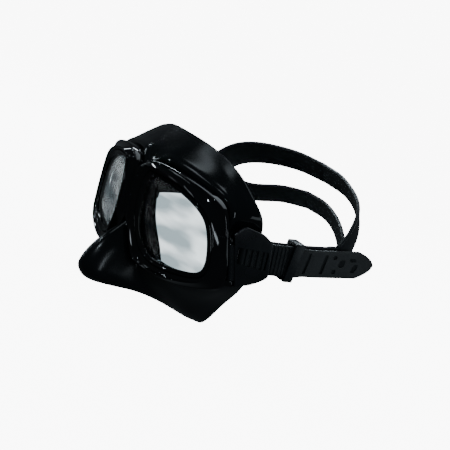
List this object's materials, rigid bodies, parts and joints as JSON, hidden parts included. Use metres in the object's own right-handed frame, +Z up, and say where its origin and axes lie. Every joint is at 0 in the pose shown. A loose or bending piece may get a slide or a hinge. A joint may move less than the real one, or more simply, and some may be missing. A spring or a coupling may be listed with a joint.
{
  "type": "diving mask",
  "caption": "Diving mask with two framed lenses, a soft skirt with a nose pocket, hinged strap buckles, strap keepers and a split rear strap.",
  "frame": {"origin": "bottom centre of the bounding box, on the surface the mask stands on", "axes": "+X to the wearer's left, +Y from the lenses towards the back of the head, +Z up as the mask stands on its nose pocket and lower skirt corners"},
  "size_m": [0.1654, 0.1454, 0.1151],
  "materials": {
    "frame": "gloss",
    "lens_left": "polished",
    "lens_right": "polished",
    "lens_bezel_left": "gloss",
    "lens_bezel_right": "gloss",
    "skirt": "gloss",
    "buckle_left": "satin",
    "buckle_right": "satin",
    "hinge_pin_left": "satin",
    "hinge_pin_right": "satin",
    "roller_left": "satin",
    "roller_right": "satin",
    "roller_axle_left": "satin",
    "roller_axle_right": "satin",
    "strap_side_left": "satin",
    "strap_side_right": "satin",
    "strap_rear_band": "satin",
    "strap_keeper_left": "satin",
    "strap_keeper_right": "satin"
  },
  "bodies": {
    "mask": {"frame": "frame", "lens_left": "lens_left", "lens_right": "lens_right", "lens_bezel_left": "lens_bezel_left", "lens_bezel_right": "lens_bezel_right", "skirt": "skirt", "hinge_pin_left": "hinge_pin_left", "hinge_pin_right": "hinge_pin_right", "strap_rear_band": "strap_rear_band"},
    "buckle_left": {"buckle_left": "buckle_left", "roller_axle_left": "roller_axle_left", "strap_side_left": "strap_side_left"},
    "roller_left": {"roller_left": "roller_left"},
    "keeper_left": {"strap_keeper_left": "strap_keeper_left"},
    "buckle_right": {"buckle_right": "buckle_right", "roller_axle_right": "roller_axle_right", "strap_side_right": "strap_side_right"},
    "roller_right": {"roller_right": "roller_right"},
    "keeper_right": {"strap_keeper_right": "strap_keeper_right"}
  },
  "joints": [
    {"name": "buckle_hinge_left", "type": "hinge", "parent": "mask", "child": "buckle_left", "pos_m": [0.068, -0.027, 0.0475], "axis": [0.103, 0.4237, -0.8999], "range_deg": [0, 20]},
    {"name": "roller_spin_left", "type": "hinge", "parent": "buckle_left", "child": "roller_left", "pos_m": [0.06753, -0.02017, 0.05395], "axis": [-0.0345, -0.2446, 0.969], "continuous": true},
    {"name": "keeper_slide_left", "type": "slide", "parent": "buckle_left", "child": "keeper_left", "axis": [0.166, 0.9547, 0.2469], "range_m": [-0.005, 0.006]},
    {"name": "buckle_hinge_right", "type": "hinge", "parent": "mask", "child": "buckle_right", "pos_m": [-0.068, -0.027, 0.0475], "axis": [0.103, -0.4237, 0.8999], "range_deg": [0, 20]},
    {"name": "roller_spin_right", "type": "hinge", "parent": "buckle_right", "child": "roller_right", "pos_m": [-0.06753, -0.02017, 0.05395], "axis": [-0.0345, 0.2446, -0.969], "continuous": true},
    {"name": "keeper_slide_right", "type": "slide", "parent": "buckle_right", "child": "keeper_right", "axis": [-0.166, 0.9547, 0.2469], "range_m": [-0.005, 0.006]}
  ]
}
